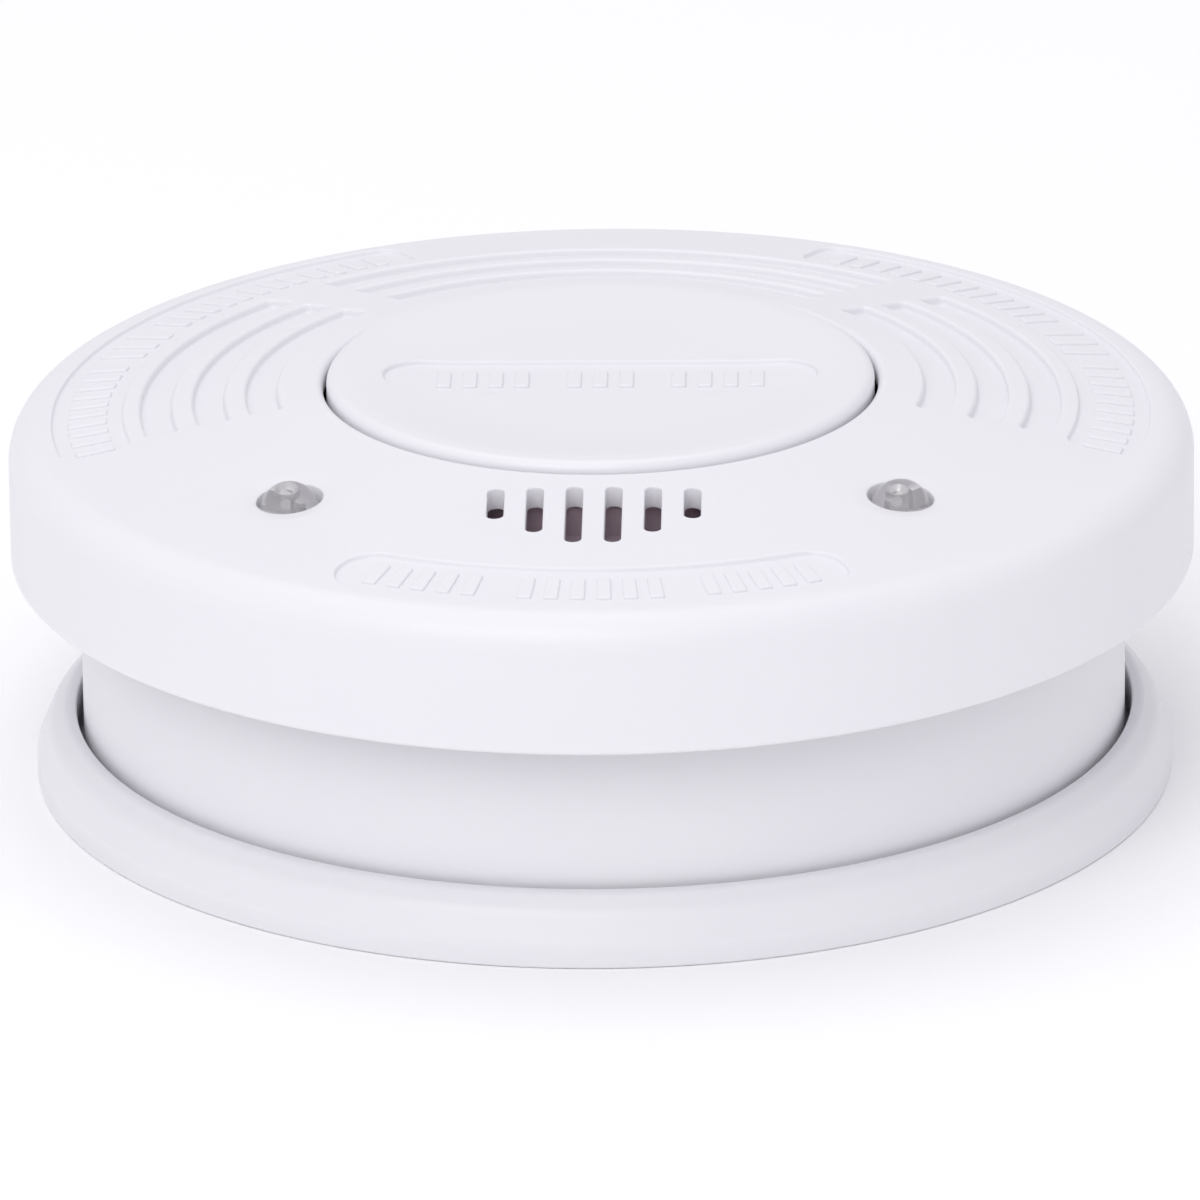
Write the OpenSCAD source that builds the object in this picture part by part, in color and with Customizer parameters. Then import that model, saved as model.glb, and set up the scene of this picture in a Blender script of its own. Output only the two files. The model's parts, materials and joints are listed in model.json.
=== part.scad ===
// Smoke detector with a twist-off mounting plate.
// Millimetres. +Z points from the ceiling plate to the room, -Y is the front with the two lamps.
// The origin is the centre of the plate's flat back.

/* [Front cover] */
// Outer radius of the cover
cover_r = 50; // [48:0.5:62]
// Height of the skirt's lower edge above the back
skirt_z = 19.4; // [19:0.2:21]
// Height of the cover's straight top line at the button's hole
crown_z = 34.4; // [34:0.1:36]
// Slope of the cover's top, in degrees
crown_slope = 7.7; // [5:0.1:8]
// Radius of the rounded edge between skirt and top
shoulder_r = 3.2; // [2.2:0.1:4]
// Wall of the cover
cover_wall = 1.8; // [1.4:0.1:2.2]
// Depth of the arc grooves
groove_depth = 0.7; // [0.3:0.1:1]
// Width of an arc groove
groove_w = 2.6; // [2:0.1:3]
// Distance from one arc groove to the next
groove_pitch = 4.45; // [4:0.05:4.6]
// Radius of the middle of the first arc groove
groove_first_r = 28.6; // [27.5:0.1:29]
// Depth of the legend panels
panel_depth = 0.4; // [0.2:0.1:0.6]

/* [Sounder slots] */
// Width of a slot
slot_w = 1.4; // [1:0.1:1.8]
// Distance from one slot to the next
slot_pitch = 3.25; // [3:0.05:3.6]
// Distance of the slots' inner ends from the centre
slot_in = 26; // [25.5:0.1:27]

/* [Test button] */
// Radius of the button
button_r = 23.1; // [20:0.1:23.4]
// Gap round the button
button_gap = 0.3; // [0.25:0.05:1]
// Radius of the soft edge of the button's hole
hole_round = 0.7; // [0.3:0.1:1]
// Height of the button's rounded rim
button_top = 35; // [34.9:0.1:36.5]
// Depth of the dish in the button
dish_depth = 0.6; // [0.4:0.1:1.2]
// Wall of the button
button_wall = 1.5; // [1.2:0.1:2]
// How far the button travels
button_travel = 0.8; // [0.6:0.05:1]
// How far the switch plunger travels
plunger_travel = 0.3; // [0.2:0.05:0.4]

/* [Base and mounting plate] */
// Outer radius of the base housing
base_r = 44.2; // [44:0.1:46]
// Wall of the base housing
base_wall = 1.8; // [1.4:0.1:2]
// Outer radius of the mounting plate
plate_r = 48.2; // [47.8:0.1:50]
// Floor of the mounting plate
plate_floor = 1.8; // [1.4:0.1:2]
// Height of the flange's inner lip
lip_z = 5.8; // [5:0.1:6.4]
// Distance between the two screw slots
screw_spacing = 60; // [50:1:64]
// Width of a screw slot
screw_slot_w = 4.2; // [3.4:0.1:5]
// End to end length of a screw slot
screw_slot_l = 9; // [6:0.5:11]
// Angle that the head turns to come off, in degrees
twist = 18; // [12:1:18]

/* [Inside] */
// Thickness of the circuit board
board_t = 1.6; // [1:0.1:1.8]
// Height of the circuit board's underside
board_z = 22.4; // [22:0.1:22.8]
// Outer radius of the smoke chamber
chamber_r = 17.8; // [15:0.1:18.2]
// Radius of the sounder case
sounder_r = 13; // [11:0.1:13.5]
// Radius of a lamp lens
lens_r = 2.5; // [1.5:0.1:2.8]

/* [Hidden] */
$fn = 96;
slip = 0.05;      // a screw or pin in its hole
clear = 0.3;      // pieces that pass or lie close to each other
cut = 1;          // how far a cutter runs past what it cuts

// Cover
hole_r = button_r + button_gap;
slope_k = tan(crown_slope);
cover_in_r = cover_r - cover_wall;
edge_round = 0.4;
lens_ring_r = 35.4;                  // the lamps' distance from the centre
lens_angle = 45.5;                   // and their angle from the front
lens_top_z = top_z(lens_ring_r) + 1.25;
slot_out = [35.65, 33.8, 31.3];      // outer ends, from the middle pair outwards
side_grooves = [-13, 42];            // from the X axis towards +Y, on both sides
back_grooves = [51, 129];
panel_w = 6;
panel_r = 40.3;
side_panel = [-15, 66];
front_panel = 28.5;                  // half the angle of the front legend panel

// Base
base_bottom = plate_floor + 0.8;
base_in_r = base_r - base_wall;
back_z = plate_floor + 3;            // room for the heads of the ceiling screws
back_t = 1.6;
base_top = top_z(base_in_r) - cover_wall - 0.6;
port_w = 7;
port_h = 3.4;
port_z = board_z - 0.6 - port_h;
port_step = 15;

// Bayonet
hook_at = [25, 170, 277];
hook_half = 6.5;                     // half the angle that a hook spans
hook_r = base_in_r - 4.35;           // inner face of a hook's post
hook_t = 1.5;
hook_lip = 2;
hook_lip_z = back_z + back_t + clear;
hook_top = hook_lip_z + 1.5;
hook_gap = 1;                        // play round a hook, in degrees

// Screws that hold cover, board and base together
screw_at = [90, -15, 195];
screw_ring = base_in_r - 3;
screw_r = 1.3;
screw_head_r = 2.4;
screw_head_h = 2;
screw_seat = back_z + 7.6;           // where the head bears
screw_end = board_z + board_t + 4.4;
boss_r = 3.5;
pillar_r = 2.7;

// Battery, a 9 V block
batt = [46.4, 26.5, 17.5];
batt_at = [-2.55, 18.5];
batt_z = plate_floor + 0.6;
batt_gap = 0.4;
stud_at = 6.35;
stud_h = 2.35;
clip_room = 6.15;                    // past the battery's end, for the contact clips
pocket_wall = 1.4;
pocket_roof = batt_z + batt[2] + clear;
clip_t = 0.4;
clip_w = 6;
clip_slit = 0.5;

// Board and what stands on it
board_r = base_in_r - 0.8;
board_top = board_z + board_t;
lens_low = board_top + 2;
lens_rim = 1;                        // height of the lamp's foot rim
lens_hole_r = lens_r + 0.25;
guide_low = lens_low + lens_rim + clear;
guide_wall = 1;                      // tube in the cover that guides a lamp
sounder_at = [0, -26.5];
sounder_h = 5.5;
sounder_wall = 1.2;
sound_hole_r = 3;                    // the hole that the sound leaves by
sound_hole_y = -4.5;                 // and how far it lies from the case's middle
baffle_t = 0.8;                      // wall that stands on the case behind the slots
sounder_ledge = 3.2;
disc_t = 0.2;
switch_h = 3.5;
switch_w = 6;
plunger_r = 1.75;
plunger_top = board_top + switch_h + 0.8;
chamber_at = [0, -18.5];
chamber_low = board_z - 13.4;
screen_t = 0.5;
vanes = 14;
sensor_at = [155, 25];
sensor_r = 1.5;
sensor_ring = 7.6;
leg = 0.5;

// Button
dish_z = button_top - dish_depth;
button_low = board_top + 6.6;
hook_z = button_low + 0.4;
button_in_z = dish_z - button_wall;
post_r = 2.5;
post_low = plunger_top + button_travel - plunger_travel + slip;
pill = [36.6, 7.6];
pill_depth = 0.4;

// Spring
wire_r = 0.3;
coil_r = 5.2;
coil_turns = 4.5;
coil_steps = 16;
coil_sides = 6;

// Height of the cover's outer face at radius r
function top_z(r) = crown_z - slope_k * (r - hole_r);

// Points of an arc about c, for a polygon
function arc(c, r, a0, a1, n = 8) =
    [for (i = [0:n]) let (a = a0 + (a1 - a0) * i / n) [c[0] + r * cos(a), c[1] + r * sin(a)]];

// A piece at an angle from the X axis and a distance from the centre
module at_polar(a, r) { rotate(a) translate([r, 0, 0]) children(); }

module ring(r_in, r_out, h) {
    difference() {
        cylinder(r = r_out, h = h);
        translate([0, 0, -cut]) cylinder(r = r_in, h = h + 2 * cut);
    }
}

// A wedge of a ring between two angles
module sector(r_in, r_out, h, a) {
    rotate([0, 0, a[0]]) rotate_extrude(angle = a[1] - a[0])
        translate([r_in, 0]) square([r_out - r_in, h]);
}

// A slot with round ends along X
module pill_cut(l, w, h) {
    translate([-(l - w) / 2, -w / 2, 0]) cube([l - w, w, h]);
    for (s = [-1, 1]) translate([s * (l - w) / 2, 0, 0]) cylinder(r = w / 2, h = h);
}

// A recess of even depth that follows the cover's slope, between two angles
module slope_cut(r, w, depth, a) {
    rotate([0, 0, a[0]]) rotate_extrude(angle = a[1] - a[0])
        polygon([[r, top_z(r) - depth], [r + w, top_z(r + w) - depth],
            [r + w, top_z(r) + cut], [r, top_z(r) + cut]]);
}

module mounting_plate() {
    rim_in = base_r + 0.6;
    color("white") {
        difference() {
            rotate_extrude() polygon(concat(
                [[0, 0], [plate_r, 0], [plate_r, 1.25]],
                arc([plate_r - 4.2, 1.25], 4.2, 12, 66, 6),
                [[rim_in + 0.4, lip_z], [rim_in, lip_z - 0.4], [rim_in, plate_floor], [0, plate_floor]]));
            // groove that evens the flange's wall
            translate([0, 0, -cut]) ring(rim_in + 0.8, plate_r - 1.4, cut + lip_z - 3);
            for (s = [-1, 1]) translate([s * screw_spacing / 2, 0, -cut])
                pill_cut(screw_slot_l, screw_slot_w, plate_floor + 2 * cut);
        }
        for (a = hook_at) translate([0, 0, plate_floor - 0.2]) rotate(a) {
            sector(hook_r, hook_r + hook_t, hook_top - plate_floor + 0.2, [-hook_half, hook_half]);
            translate([0, 0, hook_lip_z - plate_floor + 0.2])
                sector(hook_r - hook_lip, hook_r + 0.2, hook_top - hook_lip_z, [-hook_half, hook_half]);
        }
    }
}

// The battery pocket's outline, grown by g
module pocket(g, z0, z1) {
    x0 = batt_at[0] - batt[0] / 2 - batt_gap - g;
    y0 = batt_at[1] - batt[1] / 2 - batt_gap - g;
    translate([x0, y0, z0])
        cube([batt[0] + batt_gap + clip_room + 2 * g, batt[1] + 2 * batt_gap + 2 * g, z1 - z0]);
}

module base_housing() {
    corner = atan2(batt_at[1] + batt[1] / 2 + batt_gap + pocket_wall, batt[0] / 2 + batt_gap + pocket_wall);
    color("white") difference() {
        union() {
            translate([0, 0, base_bottom]) ring(base_in_r, base_r, base_top - base_bottom);
            translate([0, 0, back_z]) cylinder(r = base_in_r + 0.5, h = back_t);
            intersection() {
                pocket(pocket_wall, back_z, pocket_roof + pocket_wall);
                translate([0, 0, back_z]) cylinder(r = base_r - 0.2, h = board_z - back_z);
            }
            for (a = screw_at) at_polar(a, screw_ring)
                translate([0, 0, back_z]) cylinder(r = boss_r, h = board_z - back_z);
        }
        pocket(0, back_z - cut, pocket_roof);
        // bayonet slots, wide where a hook goes in and narrow where it locks
        for (a = hook_at) translate([0, 0, back_z - cut]) rotate(a) {
            sector(hook_r - clear, hook_r + hook_t + clear, back_t + 2 * cut,
                [-twist - hook_half - hook_gap, hook_half + hook_gap]);
            sector(hook_r - hook_lip - clear, hook_r + clear, back_t + 2 * cut,
                [-twist - hook_half - hook_gap, -twist + hook_half + hook_gap]);
        }
        for (a = screw_at) at_polar(a, screw_ring) {
            translate([0, 0, back_z - cut]) cylinder(r = screw_r + slip, h = board_z - back_z + 2 * cut);
            translate([0, 0, back_z - cut]) cylinder(r = screw_head_r + clear, h = screw_seat - back_z + cut);
        }
        // smoke ports, hidden behind the skirt
        for (a = [port_step / 2:port_step:360])
            if (abs(a - corner) > 8 && abs(a - 180 + corner) > 8)
                rotate(a) translate([base_in_r - 0.2, -port_w / 2, port_z])
                    cube([base_wall + 0.2 + cut, port_w, port_h]);
        // slits that the battery's contact clips pass through
        for (s = [-1, 1]) clip_body(s, clip_slit / 2, pocket_roof - cut, pocket_roof + pocket_wall + cut);
    }
}

module front_cover() {
    rc = cover_r - shoulder_r;
    zc = top_z(rc) - shoulder_r / cos(crown_slope);
    in_top = 90 - crown_slope;
    r_in = shoulder_r - cover_wall;
    color("white") {
        difference() {
            union() {
                difference() {
                    rotate_extrude() polygon(concat(
                        [[cover_in_r, skirt_z], [cover_r - edge_round, skirt_z]],
                        arc([cover_r - edge_round, skirt_z + edge_round], edge_round, -60, 0, 3),
                        arc([rc, zc], shoulder_r, 0, in_top, 10),
                        arc([hole_r + hole_round, top_z(hole_r + hole_round) - hole_round],
                            hole_round, 90, 180, 5),
                        [[hole_r, top_z(hole_r) - cover_wall]],
                        arc([rc, zc], r_in, in_top, 0, 5)));
                }
                // ring that closes the top of the base housing's wall
                difference() {
                    translate([0, 0, base_top - 2]) ring(base_r + clear, base_r + clear + 1.2, 3);
                    rotate_extrude() polygon([[base_r - cut, top_z(base_r - cut) - 0.6],
                        [base_r + 4, top_z(base_r + 4) - 0.6], [base_r + 4, crown_z + cut],
                        [base_r - cut, crown_z + cut]]);
                }
                for (a = screw_at) at_polar(a, screw_ring)
                    translate([0, 0, board_top]) cylinder(r = pillar_r,
                        h = top_z(screw_ring + pillar_r) - cover_wall / 2 - board_top);
                // guide tubes round the lamps
                for (s = [-1, 1]) at_polar(-90 + s * lens_angle, lens_ring_r)
                    translate([0, 0, guide_low]) cylinder(r = lens_hole_r + guide_wall,
                        h = top_z(lens_ring_r + lens_hole_r + guide_wall) - cover_wall / 2 - guide_low);
            }
            for (a = screw_at) at_polar(a, screw_ring)
                translate([0, 0, board_top - cut]) cylinder(r = screw_r + slip,
                    h = screw_end + clear - board_top + cut);
            for (s = [-1, 1]) at_polar(-90 + s * lens_angle, lens_ring_r)
                translate([0, 0, board_top]) cylinder(r = lens_hole_r, h = crown_z - board_top);
            for (i = [0:2], s = [-1, 1])
                translate([s * (i + 0.5) * slot_pitch, -(slot_in + slot_out[i]) / 2, board_top + sounder_h])
                    rotate([0, 0, 90]) pill_cut(slot_out[i] - slot_in, slot_w, crown_z - board_top);
            for (i = [0:2], a = [side_grooves, [180 - side_grooves[1], 180 - side_grooves[0]], back_grooves])
                slope_cut(groove_first_r - groove_w / 2 + i * groove_pitch, groove_w, groove_depth, a);
            for (a = [side_panel, [180 - side_panel[1], 180 - side_panel[0]],
                    [-90 - front_panel, -90 + front_panel]])
                slope_cut(panel_r, panel_w, panel_depth, a);
        }
    }
}

module test_button() {
    rim = 1;                          // radius of the rounded rim
    color("white") difference() {
        union() {
            rotate_extrude() polygon(concat(
                [[0, button_in_z], [button_r - button_wall, button_in_z],
                 [button_r - button_wall, button_low], [button_r, button_low]],
                arc([button_r - rim, button_top - rim], rim, 0, 90, 6),
                [[button_r - rim - 6, dish_z], [0, dish_z]]));
            translate([0, 0, post_low]) cylinder(r = post_r, h = button_in_z - post_low + 0.2);
            for (a = [30:120:270]) translate([0, 0, hook_z])
                sector(button_r - 0.5, hole_r + 1.1, top_z(hole_r + 1.1) - cover_wall - clear - hook_z,
                    [a - 8, a + 8]);
        }
        translate([0, 0, dish_z - pill_depth]) pill_cut(pill[0], pill[1], button_top);
    }
}

// Wire swept along a helix, closed at both ends
module button_spring() {
    low = board_top + wire_r;
    high = button_in_z - wire_r;
    n = coil_turns * coil_steps;
    points = [for (i = [0:n], j = [0:coil_sides - 1])
        let (a = 360 * i / coil_steps, b = 360 * j / coil_sides, r = coil_r + wire_r * cos(b))
        [r * cos(a), r * sin(a), low + (high - low) * i / n + wire_r * sin(b)]];
    walls = [for (i = [0:n - 1], j = [0:coil_sides - 1]) let (k = (j + 1) % coil_sides)
        each [[i * coil_sides + j, i * coil_sides + k, (i + 1) * coil_sides + k],
              [i * coil_sides + j, (i + 1) * coil_sides + k, (i + 1) * coil_sides + j]]];
    ends = [[for (j = [coil_sides - 1:-1:0]) j], [for (j = [0:coil_sides - 1]) n * coil_sides + j]];
    color("silver") polyhedron(points, concat(walls, ends));
}

module circuit_board() {
    color("darkgreen") translate([0, 0, board_z]) difference() {
        cylinder(r = board_r, h = board_t);
        for (a = screw_at) at_polar(a, screw_ring)
            translate([0, 0, -cut]) cylinder(r = screw_r + 0.2, h = board_t + 2 * cut);
        for (s = [-1, 1], t = [-1, 1]) at_polar(-90 + s * lens_angle, lens_ring_r)
            translate([0, t * 1.27, -cut]) cylinder(r = leg, h = board_t + 2 * cut);
        for (s = [-1, 1], t = [-1, 1]) translate([s * 3.8, t * 2.25, -cut])
            cylinder(r = leg, h = board_t + 2 * cut);
    }
}

module test_switch_body() {
    color("dimgray") difference() {
        union() {
            translate([-switch_w / 2, -switch_w / 2, board_top]) cube([switch_w, switch_w, switch_h]);
            for (s = [-1, 1], t = [-1, 1]) {
                translate([s * 3.8 - leg / 2, t * 2.25 - leg / 2, board_z + 0.2])
                    cube([leg, leg, board_t + 0.8]);
                translate([s > 0 ? 2.8 : -3.8 - leg / 2, t * 2.25 - leg / 2, board_top + 0.5])
                    cube([1 + leg / 2, leg, leg]);
            }
        }
        translate([0, 0, board_top + 1]) cylinder(r = plunger_r + slip, h = switch_h);
    }
}

module test_switch_plunger() {
    color("black") translate([0, 0, board_top + 1 + plunger_travel + slip])
        cylinder(r = plunger_r, h = plunger_top - board_top - 1 - plunger_travel - slip);
}

module indicator_lens(s) {
    color("gainsboro") at_polar(-90 + s * lens_angle, lens_ring_r) rotate_extrude()
        polygon(concat(
            [[0, lens_low], [lens_r + 0.4, lens_low], [lens_r + 0.4, lens_low + lens_rim], [lens_r, lens_low + lens_rim]],
            arc([0, lens_top_z - lens_r], lens_r, 0, 89, 8), [[0, lens_top_z]]));
}

module indicator_leads() {
    color("silver") for (s = [-1, 1], t = [-1, 1]) at_polar(-90 + s * lens_angle, lens_ring_r)
        translate([-leg / 2, t * 1.27 - leg / 2, board_z - 0.8]) cube([leg, leg, board_t + 2.8]);
}

module in_chamber(z) { translate([chamber_at[0], chamber_at[1], z]) children(); }

// A small round sensor body that points at the chamber's centre
module sensor(a, r, l, z) {
    in_chamber(z) rotate(a) translate([sensor_ring, 0, 0]) rotate([0, 90, 0])
        translate([0, 0, -l / 2]) cylinder(r = r, h = l);
}

module chamber_base() {
    tray = 1.5;
    sensor_z = (chamber_low + board_z) / 2;
    color("#202020") difference() {
        union() {
            in_chamber(board_z - tray) cylinder(r = chamber_r - screen_t - 0.2, h = tray);
            for (a = sensor_at) in_chamber(sensor_z - 2.5) rotate(a)
                translate([sensor_ring - 2, -2.5, 0]) cube([4, 5, board_z - tray / 2 - sensor_z + 2.5]);
        }
        for (a = sensor_at) sensor(a, sensor_r + slip, 3 * sensor_r + 4, sensor_z);
    }
}

module chamber_labyrinth() {
    floor_t = 1.2;
    vane_r = chamber_r - 3.6;
    color("#202020") {
        in_chamber(chamber_low) cylinder(r = chamber_r - screen_t - 0.2, h = floor_t);
        for (i = [0:vanes - 1]) in_chamber(chamber_low + floor_t - 0.2)
            rotate(i * 360 / vanes) translate([vane_r, 0, 0]) rotate(40) translate([-2.2, -0.5, 0])
                cube([4.4, 1, board_z - 1.6 - chamber_low - floor_t + 0.2]);
    }
}

module insect_screen() {
    low = chamber_low + 0.2;
    h = board_z - 0.2 - low;
    bars = 30;
    rails = 4;
    color("gray") {
        for (k = [0:rails - 1]) in_chamber(low + k * (h - 0.8) / (rails - 1))
            ring(chamber_r - screen_t, chamber_r, 0.8);
        for (i = [0:bars - 1]) in_chamber(low + 0.1) rotate(i * 360 / bars)
            translate([chamber_r - screen_t + 0.06, -0.3, 0]) cube([screen_t - 0.12, 0.6, h - 0.2]);
    }
}

module infrared_emitter() {
    color("royalblue") sensor(sensor_at[0], sensor_r, 5.4, (chamber_low + board_z) / 2);
}

module photodiode() {
    color("black") sensor(sensor_at[1], sensor_r, 5.4, (chamber_low + board_z) / 2);
}

module at_sounder(z) { translate([sounder_at[0], sounder_at[1], z]) children(); }

module sounder_case() {
    baffle_r = hole_r + 1.1 + clear;  // clear of the button's hooks
    baffle_a = asin((2.5 * slot_pitch + slot_w) / baffle_r);
    baffle_low = board_top + sounder_h - 0.4;
    color("#352d30") {
        at_sounder(board_top) difference() {
            cylinder(r = sounder_r, h = sounder_h);
            translate([0, 0, -cut]) cylinder(r = sounder_r - sounder_wall, h = sounder_ledge + cut);
            translate([0, 0, -cut]) cylinder(r = sounder_r - sounder_wall - 1.4, h = sounder_h - sounder_wall + cut);
            translate([0, sound_hole_y, 0]) cylinder(r = sound_hole_r, h = sounder_h + cut);
        }
        translate([0, 0, baffle_low]) sector(baffle_r, baffle_r + baffle_t,
            top_z(baffle_r + baffle_t) - cover_wall - clear - baffle_low, [-90 - baffle_a, -90 + baffle_a]);
    }
}

module piezo_disc() {
    color("gold") at_sounder(board_top + sounder_ledge - disc_t)
        cylinder(r = sounder_r - sounder_wall - 0.2, h = disc_t);
}

module piezo_ceramic() {
    color("ivory") at_sounder(board_top + sounder_ledge - 2 * disc_t) cylinder(r = 7, h = disc_t);
}

module sounder_contacts() {
    color("gold") for (x = [-9, 0, 9]) at_sounder(board_top) translate([x, 0, 0])
        cylinder(r = 0.6, h = sounder_ledge - (x == 0 ? 2 : 1) * disc_t);
}

module battery_case() {
    color("dimgray") translate([batt_at[0] - batt[0] / 2, batt_at[1] - batt[1] / 2, batt_z]) cube(batt);
}

module battery_terminals() {
    color("silver") for (s = [-1, 1])
        translate([batt_at[0] + batt[0] / 2, batt_at[1] + s * stud_at, batt_z + batt[2] / 2])
            rotate([0, 90, 0]) cylinder(r = s > 0 ? 2.85 : 4.4, h = stud_h);
}

// A contact strip that rises from the battery's stud to the board, grown by g
module clip_body(s, g, z0, z1) {
    translate([batt_at[0] + batt[0] / 2 + stud_h + 0.1 - g, batt_at[1] + s * stud_at - clip_w / 2 - g, z0])
        cube([clip_t + 2 * g, clip_w + 2 * g, z1 - z0]);
}

module battery_clips() {
    color("silver") for (s = [-1, 1]) clip_body(s, 0, batt_z + 4, board_z);
}

module housing_screws() {
    color("silver") for (a = screw_at) at_polar(a, screw_ring) difference() {
        union() {
            translate([0, 0, screw_seat]) cylinder(r = screw_r, h = screw_end - screw_seat);
            translate([0, 0, screw_seat - screw_head_h]) cylinder(r = screw_head_r, h = screw_head_h);
        }
        for (q = [0, 90]) translate([0, 0, screw_seat - screw_head_h - cut]) rotate(q)
            translate([-1.3, -0.3, 0]) cube([2.6, 0.6, cut + 1.2]);
    }
}

module microcontroller() {
    color("#303030") translate([-2, 14, board_top]) {
        translate([0, 0, 0.15]) cube([4, 8.7, 1.5]);
        for (i = [0:6], s = [0, 1]) translate([s > 0 ? 3.9 : -1, 0.35 + i * 1.27, 0]) cube([1.1, 0.4, 0.35]);
    }
}

module electrolytic_capacitor() {
    color("black") translate([18, 16, board_top]) cylinder(r = 3.15, h = 5.3);
}

module step_up_coil() {
    color("#303030") translate([-17, 18, board_top]) difference() {
        cylinder(r = 3.9, h = 4.8);
        translate([0, 0, 1]) ring(2.2, 3.9 + cut, 2.8);
    }
}

// Small parts in a row, all alike
module chips(n, at, step, size) {
    for (i = [0:n - 1]) translate([at[0] + i * step, at[1], board_top]) cube(size);
}

module chip_resistors() {
    color("black") {
        chips(6, [8, 26], 3, [2, 1.25, 0.5]);
        chips(5, [-24, 8], 3, [2, 1.25, 0.5]);
    }
}

module chip_capacitors() {
    color("tan") {
        chips(4, [-14, 28], 3, [2, 1.25, 0.8]);
        chips(3, [14, 8], 3, [2, 1.25, 0.8]);
    }
}

mounting_plate();
base_housing();
front_cover();
test_button();
button_spring();
circuit_board();
test_switch_body();
test_switch_plunger();
indicator_lens(-1);  // indicator_lens_left
indicator_lens(1);  // indicator_lens_right
indicator_leads();
chamber_base();
chamber_labyrinth();
insect_screen();
infrared_emitter();
photodiode();
sounder_case();
piezo_disc();
piezo_ceramic();
sounder_contacts();
battery_case();
battery_terminals();
battery_clips();
housing_screws();
microcontroller();
electrolytic_capacitor();
step_up_coil();
chip_resistors();
chip_capacitors();
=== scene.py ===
"""A round smoke detector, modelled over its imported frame. Lengths are in millimetres, turned to metres by MM."""
import json
import math

import bpy
from mathutils import Matrix, Vector


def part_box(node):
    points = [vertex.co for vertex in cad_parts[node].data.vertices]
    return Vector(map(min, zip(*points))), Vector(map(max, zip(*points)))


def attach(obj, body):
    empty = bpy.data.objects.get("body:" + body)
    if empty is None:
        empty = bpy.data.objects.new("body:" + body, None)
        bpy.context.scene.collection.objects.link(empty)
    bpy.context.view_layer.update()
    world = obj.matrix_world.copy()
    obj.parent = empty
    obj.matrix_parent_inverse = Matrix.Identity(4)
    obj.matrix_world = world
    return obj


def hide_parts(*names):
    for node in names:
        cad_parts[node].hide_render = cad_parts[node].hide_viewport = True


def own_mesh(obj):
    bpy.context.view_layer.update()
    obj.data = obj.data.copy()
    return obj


MM = 0.001
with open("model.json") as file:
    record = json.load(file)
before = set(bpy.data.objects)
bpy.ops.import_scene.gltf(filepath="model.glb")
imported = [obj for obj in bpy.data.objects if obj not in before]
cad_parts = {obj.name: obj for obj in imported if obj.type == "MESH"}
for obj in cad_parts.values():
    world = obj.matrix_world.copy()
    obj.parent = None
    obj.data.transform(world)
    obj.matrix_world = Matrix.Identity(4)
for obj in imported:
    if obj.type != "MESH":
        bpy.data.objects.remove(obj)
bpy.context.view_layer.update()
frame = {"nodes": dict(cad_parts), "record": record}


def span(node):
    """A node's lowest and highest corner in millimetres."""
    low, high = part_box(node)
    return [c / MM for c in low], [c / MM for c in high]


# ---- sizes read from the frame, in mm ----
COVER_R = span("front_cover")[1][0]
SKIRT_Z = span("front_cover")[0][2]
BASE_R = span("base_housing")[1][0]
BASE_LOW = span("base_housing")[0][2]
BASE_TOP = span("base_housing")[1][2]
PLATE_R = span("mounting_plate")[1][0]
HOOK_TOP = span("mounting_plate")[1][2]
POST_LOW = span("test_button")[0][2]
BUTTON_TOP = span("test_button")[1][2]
BOARD_LOW, BOARD_TOP = span("circuit_board")[0][2], span("circuit_board")[1][2]
SOUNDER_TOP = span("sounder_case")[1][2]
SOUNDER_R = span("sounder_case")[1][0]
SOUNDER_Y = (span("sounder_case")[0][1] + span("sounder_case")[1][1]) / 2
LENS_LOW, LENS_TOP = span("indicator_lens_left")[0][2], span("indicator_lens_left")[1][2]
LENS_X = [sum(c[0] for c in span(n)) / 2 for n in ("indicator_lens_left", "indicator_lens_right")]
LENS_Y = sum(c[1] for c in span("indicator_lens_left")) / 2
SPRING_LOW, SPRING_TOP = span("button_spring")[0][2], span("button_spring")[1][2]

# ---- the moulding's own sizes ----
WALL = 1.8
STEPS = 360                     # facets round a large turned shape
CROWN_Z = 34.4                  # the cover's straight top line at the button's hole
SLOPE = math.tan(math.radians(7.7))
SHOULDER_R = 3.2
BUTTON_R = 23.1
HOLE_R = 23.4
LENS_R = 2.5
LENS_RING_R = math.hypot(LENS_X[1], LENS_Y)
GROOVE_W = 2.6
GROOVE_DEPTH = 0.7
GROOVE_MID = [28.6, 33.05, 37.5]
PANEL_MID = 43.3
PANEL_W = 6
PANEL_DEPTH = 0.4
SLOT_W = 1.4
SLOT_PITCH = 3.25
SLOT_IN = 26
SLOT_OUT = [35.65, 33.8, 31.3]  # outer ends, from the middle pair outwards
EDGE = 0.34                     # rounding of a groove's edge
RIB_W = 1.15
RIB_HIGH = 0.22
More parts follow.
